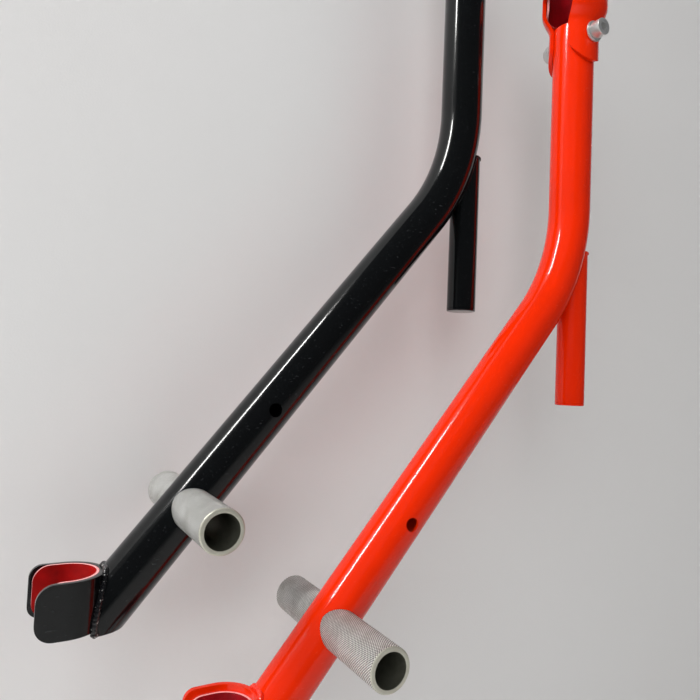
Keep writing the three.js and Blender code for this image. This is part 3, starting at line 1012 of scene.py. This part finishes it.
def zinc_plate(name):
    finish = Finish(name)
    cloud = finish.noise(300.0, 3.0, 0.6)
    fine = finish.noise(3000.0, 2.0)
    finish.feed(finish.surface, {
        "Base Color": finish.blend(cloud, (0.78, 0.78, 0.76, 1), (0.6, 0.6, 0.6, 1)),
        "Roughness": 0.24 + 0.14 * cloud,
        "Metallic": 0.72,
        "Normal": finish.relief(fine, 0.02 * MM, 0.5),
    })
    return finish.material


def moulded_plastic(name, colour):
    finish = Finish(name)
    grain = finish.noise(1800.0, 3.0)
    cloud = finish.noise(90.0, 2.0)
    darker = [0.8 * part for part in colour[:3]] + [1]
    finish.feed(finish.surface, {
        "Base Color": finish.blend(cloud, colour, darker),
        "Roughness": 0.38 + 0.2 * grain,
        "Normal": finish.relief(grain, 0.05 * MM, 0.5),
    })
    return finish.material


zinc = zinc_plate("zinc_plate")
nylon = moulded_plastic("nut_nylon", (0.72, 0.73, 0.7, 1))


def hexagon_bar(name, place, flats, start, end):
    """A hexagonal bar along X, this wide across its flats."""
    radius = flats / math.sqrt(3)
    points = []
    for along in (start, end):
        for side in range(6):
            turn = math.pi / 3 * side
            points.append(place + Vector((along, radius * math.cos(turn), radius * math.sin(turn))))
    faces = [tuple(range(6)), tuple(range(6, 12))]
    faces += [(side, (side + 1) % 6, (side + 1) % 6 + 6, side + 6) for side in range(6)]
    return built(name, points, faces)


def plain_ring(name, axis, radii, start, end, ease):
    """A turned ring round the bolt's axis, with its corners eased."""
    inside, outside = radii
    corners = [(inside, start), (outside, start), (outside, end), (inside, end)]
    return turned(name, axis, eased(corners, ease, True), "X", FASTENER_SIDES, True)


for arm, place in PLACES.items():
    axis = place + Vector((0, 0, bolt_z))
    screw_low, screw_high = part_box(f"{arm}_cap_screw")
    tip = screw_low.x - place.x
    head_top = screw_high.x - place.x
    head_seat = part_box(f"{arm}_head_washer")[1].x - place.x + TOUCH
    profile = eased([
        (0, tip), (SCREW_RADIUS - TIP_CHAMFER, tip), (SCREW_RADIUS, tip + TIP_CHAMFER),
    ], TIP_EASE)
    for turn in range(THREAD_TURNS):
        start = tip + TIP_CHAMFER + turn * THREAD_PITCH
        profile += [(SCREW_RADIUS - depth, start + along) for along, depth in GROOVE]
    profile += eased([
        (SCREW_RADIUS, head_seat - NECK), (SCREW_RADIUS, head_seat), (HEAD_RADIUS, head_seat),
        (HEAD_RADIUS, head_top), (0, head_top),
    ], HEAD_EASE)
    screw = turned(f"{arm}_socket_screw", axis, profile, "X", FASTENER_SIDES)
    recess = (head_top - HEX_DEPTH, head_top + RECESS_OVERRUN)
    cut(screw, hexagon_bar("cutter", axis, HEX_KEY, *recess))
    fit_arm(screw, arm, zinc, "zinc_plate", "cap_screw")
    for side in ("head", "nut"):
        low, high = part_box(f"{arm}_{side}_washer")
        radii = (WASHER_HOLE_RADIUS, WASHER_RADIUS)
        ends = (low.x - place.x, high.x - place.x)
        washer = plain_ring(f"{arm}_{side}_side_washer", axis, radii, *ends, RING_EASE)
        fit_arm(washer, arm, zinc, "zinc_plate", f"{side}_washer")
    nut_low, nut_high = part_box(f"{arm}_lock_nut")
    nut_end = nut_low.x - place.x
    nut_seat = nut_high.x - place.x
    flats = nut_high.z - nut_low.z
    nut = hexagon_bar(f"{arm}_hex_lock_nut", axis, flats, nut_end + NUT_HEX_FROM_END, nut_seat)
    ease_edges(nut, NUT_EDGE)
    bore_place = axis + Vector((nut_seat, 0, 0))
    cut(nut, cutter_rod(bore_place, NUT_BORE_RADIUS, NUT_CUTTER_HALF, sides=NUT_BORE_SIDES))
    fit_arm(nut, arm, zinc, "zinc_plate", "lock_nut")
    ends = (nut_end, nut_end + COLLAR_LENGTH)
    collar = plain_ring(f"{arm}_nut_collar", axis, COLLAR_RADII, *ends, COLLAR_EASE)
    fit_arm(collar, arm, zinc, "zinc_plate")
    low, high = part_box(f"{arm}_nut_insert")
    ends = (low.x - place.x, high.x - place.x)
    ring = plain_ring(f"{arm}_nylon_ring", axis, NYLON_RADII, *ends, RING_EASE)
    fit_arm(ring, arm, nylon, "nylon", "nut_insert")
    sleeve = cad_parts[f"{arm}_crush_sleeve"]
    sleeve.data.materials.clear()
    sleeve.data.materials.append(zinc)
